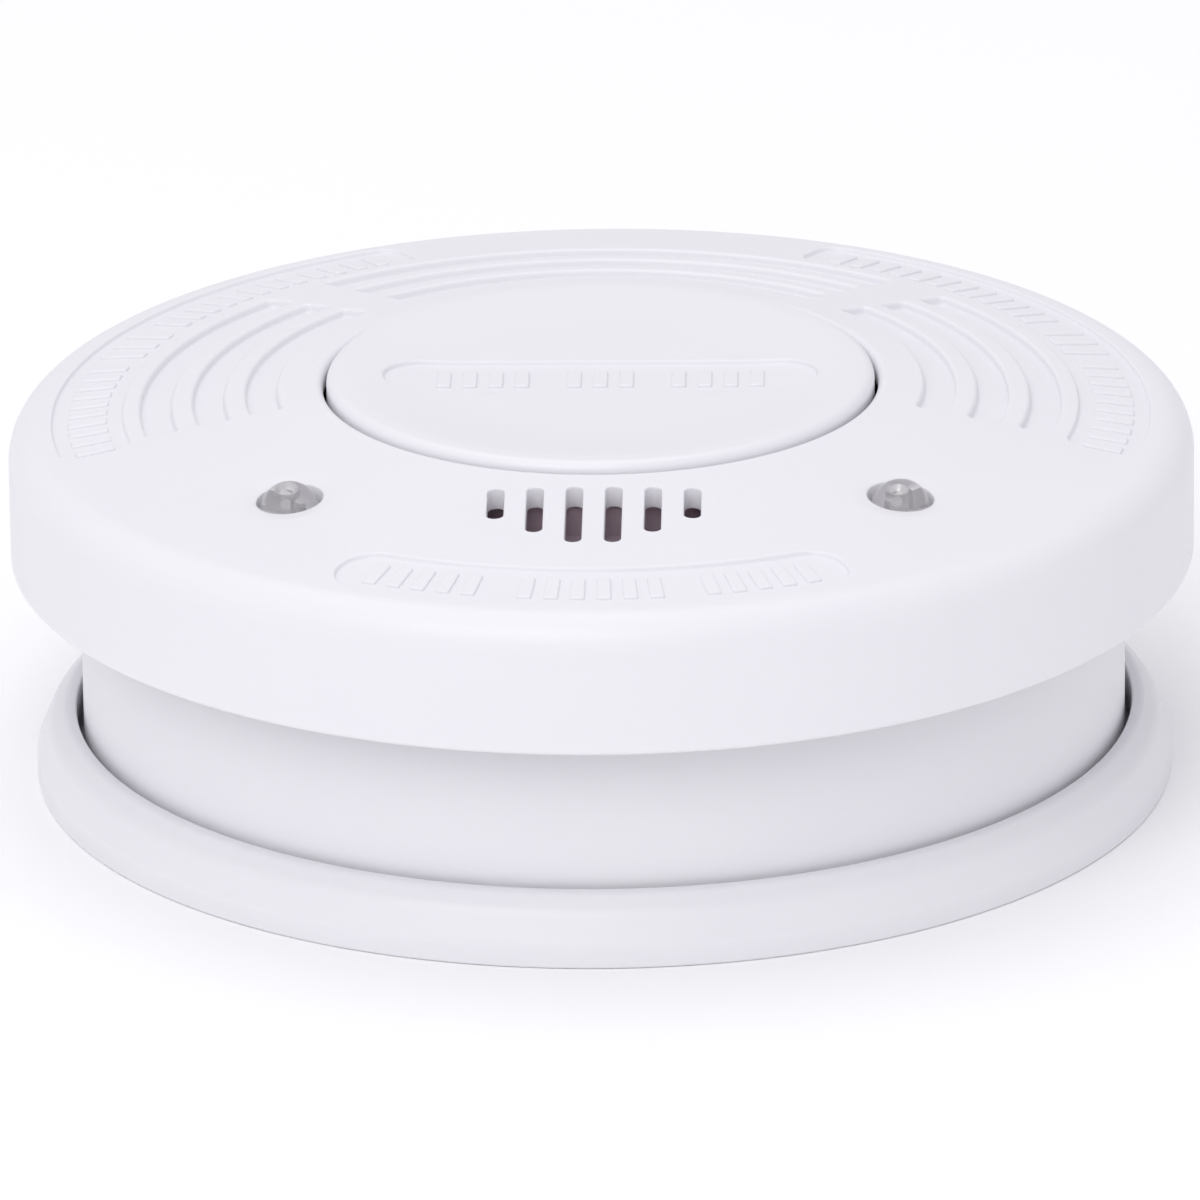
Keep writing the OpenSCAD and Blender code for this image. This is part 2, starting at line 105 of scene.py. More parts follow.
# groups of bars: first angle, last angle, length across the panel
RIB_GROUPS = [(-13, 14, 3.3), (19, 26, 4), (31, 62, 3.3),
              (118, 149, 3.3), (154, 161, 4), (166, 193, 3.3),
              (-114, -103, 3.3), (-97, -83, 3.3), (-77, -66, 3.3)]
DISH_Z = 34.4                   # the flat middle of the button
PILL = (36.6, 7.6)              # the oblong recess in the button
PILL_DEPTH = 0.4
BUTTON_LOW = BOARD_TOP + 6.6
BACK_Z, BACK_T = 4.8, 1.6       # the base's back plate
HOOKS = [25, 170, 277]          # bayonet hooks, in degrees
HOOK_HALF = 6.5
HOOK_R = BASE_R - WALL - 4.35
TWIST = 18                      # the turn that frees the hooks, in degrees
SCREWS = [90, -15, 195]         # housing screws, in degrees
SCREW_RING = BASE_R - WALL - 3
SCREW_PLACES = [(SCREW_RING * math.cos(math.radians(a)), SCREW_RING * math.sin(math.radians(a))) for a in SCREWS]
SCREW_SEAT = 12.4
SCREW_HOLE_R = 1.35
SCREW_SINK_R = 2.7
SCREW_SPACING, SCREW_SLOT = 60, (9, 4.2)
POCKET = (-26.15, 26.8, 4.85, 32.15)    # left, right, front and back walls of the battery pocket
POCKET_WALL = 1.4
POCKET_CORNERS = (50.7, 129.3)          # angles at which the pocket meets the drum
BATTERY_TOP = span("battery_case")[1][2]
SOUND_HOLE_Y = -4.5                     # how far the sound hole lies from the case's middle
LENS_BORE_R = LENS_R + 0.25


def crown(r):
    """Height of the cover's top at radius r."""
    return CROWN_Z - SLOPE * (r - HOLE_R)


# ---- modelling helpers ----

def begin(obj):
    """Opens a piece in edit mode with all of it selected."""
    bpy.ops.object.select_all(action="DESELECT")
    bpy.context.view_layer.objects.active = obj
    obj.select_set(True)
    bpy.ops.object.mode_set(mode="EDIT")
    bpy.ops.mesh.select_all(action="SELECT")


def finish_edit():
    bpy.ops.object.mode_set(mode="OBJECT")


def rounded(corners, steps=6):
    """The points of a closed outline whose corners are (x, y, radius)."""
    points = []
    for i, (x, y, radius) in enumerate(corners):
        here = Vector((x, y))
        if radius == 0:
            points.append((x, y))
            continue
        back = (Vector(corners[i - 1][:2]) - here).normalized()
        ahead = (Vector(corners[(i + 1) % len(corners)][:2]) - here).normalized()
        half = back.angle(ahead) / 2
        centre = here + (back + ahead).normalized() * radius / math.sin(half)
        start = here + back * radius / math.tan(half) - centre
        turn = start.angle_signed(here + ahead * radius / math.tan(half) - centre)
        for k in range(steps + 1):
            arm = start.copy()
            arm.rotate(Matrix.Rotation(-turn * k / steps, 2))
            points.append(tuple(centre + arm))
    return points


def lathe(name, outline, steps=STEPS, closed=True):
    """Turns an outline of (radius, height) about Z: a circle is drawn and then extruded and resized, point by point."""
    first, height = outline[0]
    bpy.ops.object.select_all(action="DESELECT")
    bpy.ops.mesh.primitive_circle_add(vertices=steps, radius=first * MM, fill_type="NOTHING")
    obj = bpy.context.object
    obj.name = name
    bpy.ops.object.mode_set(mode="EDIT")
    bpy.ops.transform.translate(value=(0, 0, height * MM))
    ring = list(outline[1:]) + ([outline[0]] if closed else [])
    radius = first
    for r, z in ring:
        bpy.ops.mesh.extrude_edges_move(TRANSFORM_OT_translate={"value": (0, 0, (z - height) * MM)})
        if r == 0:
            bpy.ops.mesh.merge(type="CENTER")
            break
        bpy.ops.transform.resize(value=(r / radius, r / radius, 1), center_override=(0, 0, z * MM))
        radius, height = r, z
    bpy.ops.mesh.select_all(action="SELECT")
    bpy.ops.mesh.remove_doubles(threshold=0.001 * MM)
    bpy.ops.mesh.normals_make_consistent(inside=False)
    finish_edit()
    return obj


def cap_ends(obj):
    """Closes the open rings at the ends of an outline with flat faces."""
    begin(obj)
    bpy.ops.mesh.fill_holes(sides=0)
    bpy.ops.mesh.normals_make_consistent(inside=False)
    finish_edit()
    return obj


def tube(name, r, low, high, x=0.0, y=0.0, steps=64):
    """A plain round peg, used as a boss or as a cutter."""
    obj = cap_ends(lathe(name, [(r, low), (r, high)], steps, closed=False))
    shift(obj, x, y)
    return obj


def shift(obj, x, y, z=0.0):
    """Moves a piece's mesh, so that its object stays at the origin."""
    obj.data.transform(Matrix.Translation(Vector((x, y, z)) * MM))


def block(name, size, centre, round_edge=0.0):
    """A box with softened edges."""
    bpy.ops.object.select_all(action="DESELECT")
    bpy.ops.mesh.primitive_cube_add(size=1)
    obj = bpy.context.object
    obj.name = name
    bpy.ops.object.mode_set(mode="EDIT")
    bpy.ops.transform.resize(value=[s * MM for s in size])
    bpy.ops.transform.translate(value=[c * MM for c in centre])
    if round_edge:
        bpy.ops.mesh.bevel(offset=round_edge * MM, segments=3, affect="EDGES")
    finish_edit()
    return obj


def tray_tool(name, length, width, corner, levels, stations=0):
    """A rounded oblong stepped down from a flat top at z 0.
    Each level is (how far it lies inside the full outline, how deep it is)."""
    bpy.ops.object.select_all(action="DESELECT")
    bpy.ops.mesh.primitive_plane_add(size=1)
    obj = bpy.context.object
    obj.name = name
    bpy.ops.object.mode_set(mode="EDIT")
    bpy.ops.transform.resize(value=(length * MM, width * MM, 1))
    bpy.ops.mesh.bevel(offset=corner * MM, segments=6, affect="VERTICES")
    bpy.ops.transform.translate(value=(0, 0, levels[0][1] * MM))
    bpy.ops.mesh.flip_normals()
    last_in, last_z = levels[0]
    for inset, z in levels[1:]:
        if inset == last_in:
            bpy.ops.mesh.extrude_region_move(TRANSFORM_OT_translate={"value": (0, 0, (z - last_z) * MM)})
        else:
            bpy.ops.mesh.inset(thickness=(inset - last_in) * MM, depth=abs(z - last_z) * MM)
        last_in, last_z = inset, z
    for k in range(1, stations):
        at = (k / stations - 0.5) * length * MM
        bpy.ops.mesh.select_all(action="SELECT")
        bpy.ops.mesh.bisect(plane_co=(at, 0, 0), plane_no=(1, 0, 0))
    finish_edit()
    return obj


def flat(r):
    """The ground of a piece that lies level, at any radius."""
    return 0


def bend(obj, r, angle, ground=crown):
    """Bends a piece that lies along X into an arc of radius r centred on an angle, and lays it on a surface."""
    for v in obj.data.vertices:
        x, y, z = v.co / MM
        a = math.radians(angle) - x / r
        v.co = Vector(((r + y) * math.cos(a), (r + y) * math.sin(a), ground(r + y) + z)) * MM
    return obj


def lay(obj, x, y, turn=0.0, ground=crown):
    """Turns a piece about Z, moves it and lays it on a surface."""
    spin = Matrix.Rotation(math.radians(turn), 3, "Z")
    for v in obj.data.vertices:
        p = spin @ (v.co / MM)
        p += Vector((x, y, 0))
        v.co = Vector((p.x, p.y, ground(math.hypot(p.x, p.y)) + p.z)) * MM
    return obj


def arc_block(name, r_in, r_out, low, high, start, end):
    """A plain wedge of a ring between two angles."""
    mid = (r_in + r_out) / 2
    length = math.radians(end - start) * mid
    obj = block(name, (length, r_out - r_in, high - low), (0, 0, (low + high) / 2))
    cuts = max(2, round(end - start))
    begin(obj)
    for k in range(1, cuts):
        bpy.ops.mesh.select_all(action="SELECT")
        bpy.ops.mesh.bisect(plane_co=((k / cuts - 0.5) * length * MM, 0, 0), plane_no=(1, 0, 0))
    finish_edit()
    return bend(obj, mid, (start + end) / 2, flat)


def sunk(depth, edge, fillet):
    """The levels of a recess with a rounded edge and a rounded floor corner, for tray_tool."""
    turns = [math.radians(a) for a in (22.5, 45, 67.5, 90)]
    lip = 0.004
    levels = [(0, 0.8), (0, lip)]
    levels += [(edge * math.sin(t), lip - edge * (1 - math.cos(t))) for t in turns]
    inset = edge + 0.02
    levels.append((inset, -(depth - fillet)))
    if fillet:
        levels += [(inset + fillet * (1 - math.cos(t)), -(depth - fillet) - fillet * math.sin(t)) for t in turns]
    return levels


def join(objects, name):
    """Makes one piece of several."""
    bpy.ops.object.select_all(action="DESELECT")
    for o in objects:
        o.select_set(True)
    bpy.context.view_layer.objects.active = objects[0]
    if len(objects) > 1:
        bpy.ops.object.join()
    objects[0].name = name
    return objects[0]


def carve(obj, tools, operation="DIFFERENCE"):
    """Cuts tools out of a piece, or adds them to it, and removes them."""
    tool = join(tools, "tool")
    bpy.context.view_layer.objects.active = obj
    step = obj.modifiers.new("carve", "BOOLEAN")
    step.operation = operation
    step.solver = "MANIFOLD"
    step.object = tool
    bpy.ops.object.modifier_apply(modifier=step.name)
    bpy.data.objects.remove(tool)


def smooth(obj, angle=35):
    """Smooth shading that keeps large faces true, so that only small roundings carry the gloss."""
    bpy.ops.object.select_all(action="DESELECT")
    obj.select_set(True)
    bpy.context.view_layer.objects.active = obj
    bpy.ops.object.shade_smooth_by_angle(angle=math.radians(angle))
    step = obj.modifiers.new("weights", "WEIGHTED_NORMAL")
    step.keep_sharp = True
    step.weight = 90
    bpy.ops.object.modifier_apply(modifier=step.name)


# ---- materials ----

def srgb(code):
    """An sRGB hex colour as linear RGBA."""
    parts = [int(code[i:i + 2], 16) / 255 for i in (0, 2, 4)]
    return [c / 12.92 if c <= 0.04045 else ((c + 0.055) / 1.055) ** 2.4 for c in parts] + [1]


def put(tree, kind, settings=None, inputs=None):
    """Adds a node, sets it up and links whatever comes in."""
    node = tree.nodes.new(kind)
    for key, value in (settings or {}).items():
        setattr(node, key, value)
    for key, value in (inputs or {}).items():
        if isinstance(value, bpy.types.NodeSocket):
            tree.links.new(value, node.inputs[key])
        else:
            node.inputs[key].default_value = value
    return node


def start_material(name, **values):
    """A new material with its node tree and its shader, whose plain values are set."""
    material = bpy.data.materials.new(name)
    material.use_nodes = True
    tree = material.node_tree
    shader = tree.nodes["Principled BSDF"]
    for key, value in values.items():
        shader.inputs[key.replace("_", " ")].default_value = value
    return material, tree, shader


def noise(tree, size_mm, detail=2.0, roughness=0.5):
    """Noise whose features are about size_mm across."""
    place = put(tree, "ShaderNodeTexCoord").outputs["Object"]
    return put(tree, "ShaderNodeTexNoise", None, {
        "Vector": place, "Scale": 1 / (size_mm * MM), "Detail": detail, "Roughness": roughness}).outputs["Fac"]


def vary(tree, shader, socket, fac, low, high):
    """Lets a value of the shader drift between two limits."""
    ramp = put(tree, "ShaderNodeMapRange", None, {
        "Value": fac, "From Min": 0.3, "From Max": 0.7, "To Min": low, "To Max": high})
    tree.links.new(ramp.outputs["Result"], shader.inputs[socket])


def tint(tree, shader, fac, first, second):
    """Lets the colour drift between two near shades."""
    mix = put(tree, "ShaderNodeMix", {"data_type": "RGBA"})
    tree.links.new(fac, mix.inputs["Factor"])
    mix.inputs[6].default_value = srgb(first)
    mix.inputs[7].default_value = srgb(second)
    tree.links.new(mix.outputs[2], shader.inputs["Base Color"])


def bump(tree, shader, fac, depth_mm, strength=1.0):
    """Grain that the light catches, depth_mm from low to high."""
    node = put(tree, "ShaderNodeBump", None, {"Height": fac, "Distance": depth_mm * MM, "Strength": strength})
    tree.links.new(node.outputs["Normal"], shader.inputs["Normal"])


def white_abs():
    """Injection-moulded white ABS: a fine spark-eroded grain gives it a soft satin sheen,
    and a little light spreads under its skin."""
    material, tree, shader = start_material(
        "white_abs", IOR=1.54, Subsurface_Weight=0.12, Subsurface_Scale=1.2 * MM, Subsurface_Radius=(1, 1, 1))
    tint(tree, shader, noise(tree, 14, 3), "E9E8EC", "ECEBEE")
    vary(tree, shader, "Roughness", noise(tree, 6, 3), 0.36, 0.44)
    bump(tree, shader, noise(tree, 0.35, 2), 0.012, 0.5)
    return material


def button_abs():
    """The button's ABS comes from a polished mould, a little glossier than the housing."""
    material, tree, shader = start_material("button_abs", IOR=1.54)
    tint(tree, shader, noise(tree, 12, 3), "E9E8EC", "ECEBEE")
    vary(tree, shader, "Roughness", noise(tree, 5, 3), 0.3, 0.38)
    bump(tree, shader, noise(tree, 0.45, 2), 0.008, 0.4)
    return material


def clear_epoxy():
    """Cast clear epoxy of a lamp: glassy, with the faintest smoke grey."""
    material, tree, shader = start_material(
        "clear_epoxy", IOR=1.53, Transmission_Weight=0.85, Base_Color=srgb("FAF8FB"))
    vary(tree, shader, "Roughness", noise(tree, 1.2, 2), 0.02, 0.06)
    return material


def bright_steel():
    """Tinned steel strip: bright, softly streaked by rolling."""
    material, tree, shader = start_material("tinned_steel", Metallic=1.0, Base_Color=srgb("E2E1DF"))
    vary(tree, shader, "Roughness", noise(tree, 0.8, 3), 0.35, 0.5)
    bump(tree, shader, noise(tree, 0.3, 2), 0.004, 0.4)
    return material


def spring_wire():
    """Drawn spring steel wire, grey and fairly bright."""
    material, tree, shader = start_material("spring_wire", Metallic=1.0, Base_Color=srgb("B4B3B1"))
    vary(tree, shader, "Roughness", noise(tree, 0.5, 3), 0.25, 0.4)
    return material


def moulded_plastic(name, first, second, low, high, grain=0.4):
    """Moulded plastic, cast resin or a lacquer coat, with a fine grain; low and high limit its roughness."""
    material, tree, shader = start_material(name, IOR=1.52)
    tint(tree, shader, noise(tree, 4, 3), first, second)
    vary(tree, shader, "Roughness", noise(tree, 2, 3), low, high)
    bump(tree, shader, noise(tree, grain, 2), 0.015, 0.5)
    return material


def solder_mask():
    """Green solder mask over copper tracks: glossy, with the tracks showing as paler runs."""
    material, tree, shader = start_material("solder_mask", IOR=1.5)
    place = put(tree, "ShaderNodeTexCoord").outputs["Object"]
    tracks = put(tree, "ShaderNodeTexBrick", {"offset": 0.35}, {
        "Vector": place, "Scale": 1 / MM, "Mortar Size": 0.3, "Brick Width": 9.0, "Row Height": 1.6,
        "Color1": srgb("0F4A26"), "Color2": srgb("0D4422"), "Mortar": srgb("1C6A38")})
    tree.links.new(tracks.outputs["Color"], shader.inputs["Base Color"])
    vary(tree, shader, "Roughness", noise(tree, 3, 2), 0.22, 0.34)
    return material


def metal(name, colour, low, high):
    """A plain metal finish with slight unevenness."""
    material, tree, shader = start_material(name, Metallic=1.0, Base_Color=srgb(colour))
    vary(tree, shader, "Roughness", noise(tree, 1.5, 3), low, high)
    return material


def fired_ceramic(name, first, second):
    """Fired ceramic, matt and a little speckled."""
    material, tree, shader = start_material(name, IOR=1.6)
    tint(tree, shader, noise(tree, 0.4, 3), first, second)
    vary(tree, shader, "Roughness", noise(tree, 1, 2), 0.5, 0.65)
    return material


WHITE = white_abs()
BUTTON_WHITE = button_abs()
EPOXY = clear_epoxy()
STEEL = bright_steel()
SPRING = spring_wire()
FINISHES = {
    "board_laminate": solder_mask(),
    "switch_plastic": moulded_plastic("switch_nylon", "2A2A2C", "303032", 0.4, 0.5),
    "plunger_plastic": moulded_plastic("plunger_nylon", "161617", "1B1B1C", 0.35, 0.45),
    "chamber_plastic": moulded_plastic("chamber_abs", "121213", "171718", 0.6, 0.75),
    "screen_metal": metal("etched_screen", "8C8B89", 0.35, 0.5),
    "emitter_epoxy": moulded_plastic("emitter_epoxy", "2A3A6A", "2E3F70", 0.08, 0.15),
    "photodiode_epoxy": moulded_plastic("photodiode_epoxy", "101014", "141418", 0.08, 0.15),
    # paler than the real case, so that it shows as brown-grey in the little light behind the slots
    "sounder_plastic": moulded_plastic("sounder_abs", "C0AEB7", "C8B6BF", 0.4, 0.55),
    # shown without metal gloss, though a metal finish would be truer; the case hides it
    "brass_disc": moulded_plastic("lacquered_brass", "B79A66", "C2A672", 0.4, 0.5),
    "white_ceramic": fired_ceramic("piezo_ceramic", "DAD6C8", "E2DED2"),
    "battery_sleeve": metal("battery_sleeve", "4A4D53", 0.3, 0.42),
    "component_epoxy": moulded_plastic("chip_epoxy", "1D1D1F", "232325", 0.5, 0.6),
    "capacitor_sleeve": moulded_plastic("capacitor_sleeve", "15161F", "191A24", 0.25, 0.35),
    "ferrite": fired_ceramic("ferrite", "2E2D2D", "3A3938"),
    "resistor_black": fired_ceramic("resistor_glaze", "1A1A1A", "242424"),
    "capacitor_tan": fired_ceramic("capacitor_ceramic", "9A7B55", "A98A63"),
    "white_abs": WHITE,
    "button_abs": BUTTON_WHITE,
    "clear_epoxy": EPOXY,
    "tinned_steel": STEEL,
    "spring_steel": SPRING,
}


def dress(obj, material):
    """Gives a piece one material."""
    obj.data.materials.clear()
    obj.data.materials.append(material)


for part in frame["record"]["subparts"]:
    dress(frame["nodes"][part["node"]], FINISHES[part["material_slot"]])


def place_piece(obj, body, node, material, angle=35):
    """Finishes a modelled piece: shading, material, the body it rides on and the node it stands for."""
    smooth(obj, angle)
    dress(obj, material)
    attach(obj, body)
    if node:
        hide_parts(node)


# ---- mounting plate ----

def model_mounting_plate():
    """The plate's flange swells to a soft lip round the base. Three bayonet hooks stand on its floor."""
    rim_in, lip = BASE_R + 0.6, 5.8
    outline = rounded([
        (rim_in + 0.9, 0, 0), (PLATE_R, 0, 0.25), (PLATE_R, 1.9, 1.6), (PLATE_R - 1.1, 4.5, 2.4),
        (rim_in + 0.9, lip, 0.9), (rim_in, lip, 0.2), (rim_in, WALL, 0.4), (5, WALL, 0), (5, 0, 0)], 7)
    plate = cap_ends(lathe("ceiling_plate", outline[::-1], closed=False))
    relief = lathe("relief", [(rim_in + 0.8, -1), (PLATE_R - 1.4, -1), (PLATE_R - 1.4, 2.8), (rim_in + 0.8, 2.8)])
    slots = [tray_tool("screw_slot", SCREW_SLOT[0], SCREW_SLOT[1], SCREW_SLOT[1] * 0.499,
                       [(0, WALL + 1), (0, -1)]) for _ in (0, 1)]
    for side, slot in zip((-1, 1), slots):
        shift(slot, side * SCREW_SPACING / 2, 0)
    carve(plate, [relief] + slots)
    for angle in HOOKS:
        span_of = (angle - HOOK_HALF, angle + HOOK_HALF)
        carve(plate, [arc_block("hook_post", HOOK_R, HOOK_R + 1.5, WALL - 0.2, HOOK_TOP, *span_of)], "UNION")
        carve(plate, [arc_block("hook_lip", HOOK_R - 2, HOOK_R + 0.2, HOOK_TOP - 1.5, HOOK_TOP, *span_of)], "UNION")
    place_piece(plate, "ceiling_plate", "mounting_plate", WHITE)


# ---- base housing ----

def model_base_housing():
    """A plain drum with smoke ports under the skirt, a back plate with bayonet slots, screw bosses and the pocket."""
    inner = BASE_R - WALL
    low, high = BACK_Z, BACK_Z + BACK_T
    base = lathe("base_drum", rounded([
        (BASE_R, BASE_LOW, 0.35), (BASE_R, BASE_TOP, 0.2), (inner, BASE_TOP, 0.2), (inner, BASE_LOW, 0.2)], 4))
    carve(base, [tube("back_plate", inner + 0.5, low, high, steps=STEPS)], "UNION")
    x0, x1, y0, y1 = POCKET
    wall, roof = POCKET_WALL, BATTERY_TOP + 0.3
    middle = ((x0 + x1) / 2, (y0 + y1) / 2)
    shell = block("pocket", (x1 - x0 + 2 * wall, y1 - y0 + 2 * wall, roof + wall - low),
                  (*middle, (roof + wall + low) / 2))
    carve(shell, [tube("bound", BASE_R - 0.2, low - 1, roof + wall + 1, steps=STEPS)], "INTERSECT")
    carve(base, [shell], "UNION")
    for x, y in SCREW_PLACES:
        carve(base, [tube("boss", 3.5, low, BOARD_LOW, x, y)], "UNION")
        carve(base, [tube("through", SCREW_HOLE_R, low - 1, BOARD_LOW + 1, x, y)])
        carve(base, [tube("sink", SCREW_SINK_R, low - 1, SCREW_SEAT, x, y)])
    carve(base, [block("pocket_room", (x1 - x0, y1 - y0, roof - low + 1), (*middle, (roof + low - 1) / 2))])
    for angle in HOOKS:
        turn = angle - TWIST
        carve(base, [arc_block("lock", HOOK_R - 0.3, HOOK_R + 1.8, low - 1, high + 1,
                               turn - HOOK_HALF - 1, angle + HOOK_HALF + 1)])
        carve(base, [arc_block("entry", HOOK_R - 2.3, HOOK_R + 0.3, low - 1, high + 1,
                               turn - HOOK_HALF - 1, turn + HOOK_HALF + 1)])
    ports = []
    for k in range(24):
        angle = 7.5 + 15 * k
        if min(abs(angle - c) for c in POCKET_CORNERS) > 8:
            port = block("port", (WALL + 1.2, 7, 3.4), (inner + WALL / 2 + 0.4, 0, BOARD_LOW - 2.3), 0.4)
            port.data.transform(Matrix.Rotation(math.radians(angle), 4, "Z"))
            ports.append(port)
    carve(base, ports)
    place_piece(base, "head", "base_housing", WHITE)


# ---- front cover ----

def groove_tools():
    """Three arc grooves at each side and three at the back."""
    tools = []
    for start, end in ((-13, 42), (138, 193), (51, 129)):
        for r in GROOVE_MID:
            length = math.radians(end - start) * r
            tool = tray_tool("groove", length + 2 * EDGE, GROOVE_W + 2 * EDGE, 0.45 + EDGE,
                             sunk(GROOVE_DEPTH, EDGE, 0.2), round(length))
            tools.append(bend(tool, r, (start + end) / 2))
    return tools


def panel_tools():
    """The three legend panels."""
    tools = []
    edge = 0.18
    for start, end, corner in ((-15, 66, 1.6), (114, 195, 1.6), (-118.5, -61.5, 2.9)):
        length = math.radians(end - start) * PANEL_MID
        tool = tray_tool("panel", length + 2 * edge, PANEL_W + 2 * edge, corner + edge,
                         sunk(PANEL_DEPTH, edge, edge), round(length))
        tools.append(bend(tool, PANEL_MID, (start + end) / 2))
    return tools


def slot_tools():
    """The six sounder slots, in pairs that shorten outwards."""
    tools = []
    edge = 0.15
    for k, out in enumerate(SLOT_OUT):
        for side in (-1, 1):
            tool = tray_tool("slot", out - SLOT_IN + 2 * edge, SLOT_W + 2 * edge, (SLOT_W / 2 + edge) * 0.97,
                             sunk(5, edge, 0), 8)
            tools.append(lay(tool, side * (k + 0.5) * SLOT_PITCH, -(SLOT_IN + out) / 2, 90))
    return tools


def lens_tools():
    """Holes for the lamps, with a shallow soft dimple round each."""
    bore, deep, soft = LENS_BORE_R, 0.14, 1.5
    outline = [(bore + soft + 0.3, 1), (bore + soft + 0.3, 0.004)]
    outline += [(bore + soft * (1 - k / 6) + 0.2, -deep * (1 - math.cos(math.pi * k / 6)) / 2) for k in range(1, 7)]
    outline += [(bore + 0.06, -deep - 0.06), (bore, -deep - 0.2), (bore, -5)]
    tools = []
    for x in LENS_X:
        tools.append(lay(cap_ends(lathe("lens_hole", outline, 72, closed=False)), x, LENS_Y))
    return tools


def rib(r, angle, length):
    """A plain raised bar across a panel, in place of a legend."""
    bar = block("rib", (RIB_W, length, 0.6), (0, 0, -PANEL_DEPTH + RIB_HIGH - 0.3), 0.14)
    return bend(bar, r, angle)


def panel_ribs():
    """Plain bars at an even pitch in each group."""
    pitch = math.degrees(2.15 / PANEL_MID)
    ribs = []
    for first, last, length in RIB_GROUPS:
        count = round((last - first) / pitch)
        for k in range(count + 1):
            ribs.append(rib(PANEL_MID, first + (last - first) * k / count, length))
    return ribs


def model_front_cover():
    """The cover: a shallow cone with a rounded shoulder and a deep skirt."""
    inner = COVER_R - WALL
    corners = [(COVER_R, SKIRT_Z, 0.4), (COVER_R, crown(COVER_R), SHOULDER_R), (HOLE_R, crown(HOLE_R), 0.7),
               (HOLE_R, crown(HOLE_R) - WALL, 0.2), (inner, crown(inner) - WALL, SHOULDER_R - WALL),
               (inner, SKIRT_Z, 0.3)]
    cover = lathe("dome_cover", rounded(corners, 12))
    carve(cover, groove_tools() + panel_tools() + slot_tools() + lens_tools())
    carve(cover, panel_ribs(), "UNION")
    closing = lathe("closing_ring", [(BASE_R + 0.3, BASE_TOP - 2), (BASE_R + 1.5, BASE_TOP - 2),
                                     (BASE_R + 1.5, BASE_TOP + 0.8), (BASE_R + 0.3, BASE_TOP + 0.8)])
    carve(cover, [closing], "UNION")
    guide_low, guide_top = LENS_LOW + 1.3, crown(LENS_RING_R + 4) - 0.9
    carve(cover, [tube("guide", LENS_BORE_R + 1, guide_low, guide_top, x, LENS_Y) for x in LENS_X], "UNION")
    carve(cover, [tube("guide_bore", LENS_BORE_R, guide_low - 1, crown(LENS_RING_R) - WALL, x, LENS_Y)
                  for x in LENS_X])
    for x, y in SCREW_PLACES:
        carve(cover, [tube("pillar", 2.7, BOARD_TOP, crown(SCREW_RING) - 1.2, x, y)], "UNION")
        carve(cover, [tube("screw_hole", SCREW_HOLE_R, BOARD_TOP - 1, BOARD_TOP + 4.7, x, y)])
    place_piece(cover, "head", "front_cover", WHITE)


# ---- test button ----

def dish_outline():
    """The button's outline, from the middle of its top round to the middle of its underside."""
    top = [(3, DISH_Z, 0), (14.5, DISH_Z, 60), (21, BUTTON_TOP, 9), (BUTTON_R, BUTTON_TOP, 0.9)]
    return rounded(top + [(BUTTON_R, BUTTON_LOW, 0.25), (BUTTON_R - 1.5, BUTTON_LOW, 0.25),
                          (BUTTON_R - 1.5, DISH_Z - 1.5, 0.6), (3, DISH_Z - 1.5, 0)], 9)


def dish(r):
    """Height of the button's top at radius r."""
    points = [p for p in dish_outline() if p[1] > DISH_Z - 0.3]
    for (r0, z0), (r1, z1) in zip(points, points[1:]):
        if r0 <= r <= r1:
            return z0 + (z1 - z0) * (r - r0) / max(r1 - r0, 1e-6)
    return DISH_Z


def model_test_button():
    """A dished cap on three hooks, with a pill-shaped recess that carries plain bars."""
    button = cap_ends(lathe("dished_button", dish_outline(), closed=False))
    edge = 0.22
    length, width = PILL
    carve(button, [lay(tray_tool("pill", length + 2 * edge, width + 2 * edge, (width / 2 + edge) * 0.97,
                                 sunk(PILL_DEPTH, edge, 0.15), 36), 0, 0, 0, dish)])
    bars = []
    for k in range(-6, 7):
        if abs(k) != 2:
            bar = block("bar", (1.2, 3.6, 0.6), (0, 0, -PILL_DEPTH + 0.24 - 0.3), 0.14)
            bars.append(lay(bar, k * 2.2, 0, 0, dish))
    carve(button, bars, "UNION")
    carve(button, [tube("post", 2.5, POST_LOW, DISH_Z - 1.4)], "UNION")
    for angle in (30, 150, 270):
        top = crown(HOLE_R + 1.1) - WALL - 0.3
        carve(button, [arc_block("catch", BUTTON_R - 0.5, HOLE_R + 1.1, BUTTON_LOW + 0.4, top,
                                 angle - 8, angle + 8)], "UNION")
    place_piece(button, "button", "test_button", BUTTON_WHITE)


def model_button_spring():
    """A light compression spring: a round of wire swept up a helix."""
    wire, coil, turns = 0.3, 5.2, 4.5
    bpy.ops.object.select_all(action="DESELECT")
    bpy.ops.mesh.primitive_circle_add(vertices=12, radius=wire * MM, fill_type="NGON",
                                      rotation=(math.pi / 2, 0, 0))
    spring = bpy.context.object
    spring.name = "return_spring"
    bpy.ops.object.transform_apply(location=True, rotation=True, scale=True)
    shift(spring, coil, 0, SPRING_LOW + wire)
    sweep = spring.modifiers.new("sweep", "SCREW")
    sweep.angle = turns * 2 * math.pi
    sweep.screw_offset = (SPRING_TOP - SPRING_LOW - 2 * wire) * MM
    sweep.steps = sweep.render_steps = round(turns * 40)
    bpy.ops.object.modifier_apply(modifier=sweep.name)
    begin(spring)
    bpy.ops.mesh.remove_doubles(threshold=0.001 * MM)
    bpy.ops.mesh.normals_make_consistent(inside=False)
    finish_edit()
    place_piece(spring, "button", "button_spring", SPRING)
    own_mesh(spring)


# ---- lamps ----

